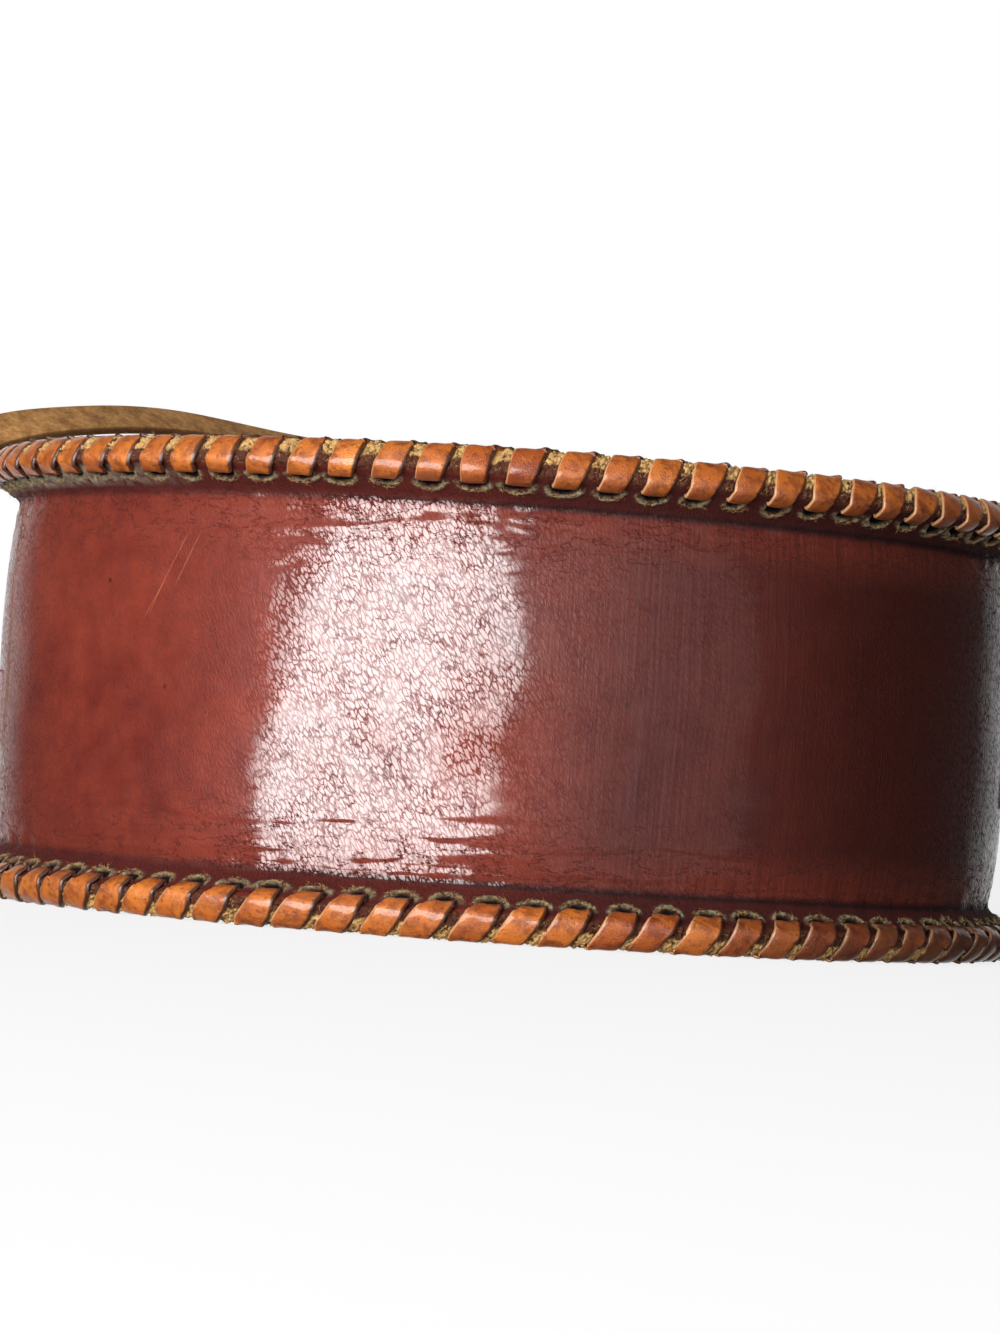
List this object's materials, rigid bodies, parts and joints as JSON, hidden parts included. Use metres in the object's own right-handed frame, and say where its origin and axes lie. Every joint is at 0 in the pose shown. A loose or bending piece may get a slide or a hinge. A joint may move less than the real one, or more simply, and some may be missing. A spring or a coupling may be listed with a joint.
{
  "type": "horse collar",
  "caption": "Open-topped padded leather draft collar with whip-laced flared edges, hame loops and a strap and buckle at the withers.",
  "frame": {"origin": "middle of the collar's length and width, on the plane its back laced edge rests on", "axes": "+Z through the collar's depth, -Y towards the throat, +Y towards the open withers"},
  "size_m": [0.4009, 0.4774, 0.1736],
  "materials": {
    "cover_leather": "glossy",
    "lining_leather": "satin",
    "straw": "matte",
    "welt_leather": "matte",
    "lace_leather": "satin",
    "strap_leather": "satin",
    "copper_rivet": "dull",
    "buckle_iron": "dull"
  },
  "bodies": {
    "collar": {"outer_cover": "cover_leather", "neck_lining": "lining_leather", "straw_filling": "straw", "front_welt": "welt_leather", "back_welt": "welt_leather", "front_lace": "lace_leather", "back_lace": "lace_leather", "left_end_cap": "cover_leather", "right_end_cap": "cover_leather", "withers_pad": "lining_leather", "closing_strap": "strap_leather", "strap_rivets": "copper_rivet", "buckle_chape": "strap_leather", "chape_rivets": "copper_rivet", "chape_keeper": "strap_leather", "left_hame_loop": "cover_leather", "right_hame_loop": "cover_leather", "left_loop_rivets": "copper_rivet", "right_loop_rivets": "copper_rivet"},
    "buckle": {"buckle_frame": "buckle_iron"},
    "roller": {"buckle_roller": "buckle_iron"},
    "tongue": {"buckle_tongue": "buckle_iron"}
  },
  "joints": [
    {"name": "buckle_swing", "type": "hinge", "parent": "collar", "child": "buckle", "pos_m": [0.024, 0.19996, 0.13597], "axis": [0, 1, 0], "range_deg": [0, 90]},
    {"name": "tongue_swing", "type": "hinge", "parent": "buckle", "child": "tongue", "pos_m": [0.024, 0.19996, 0.13597], "axis": [0, 1, 0], "range_deg": [0, 52]},
    {"name": "roller_turn", "type": "hinge", "parent": "buckle", "child": "roller", "pos_m": [0.00033, 0.19996, 0.13201], "axis": [0, 1, 0], "continuous": true}
  ]
}
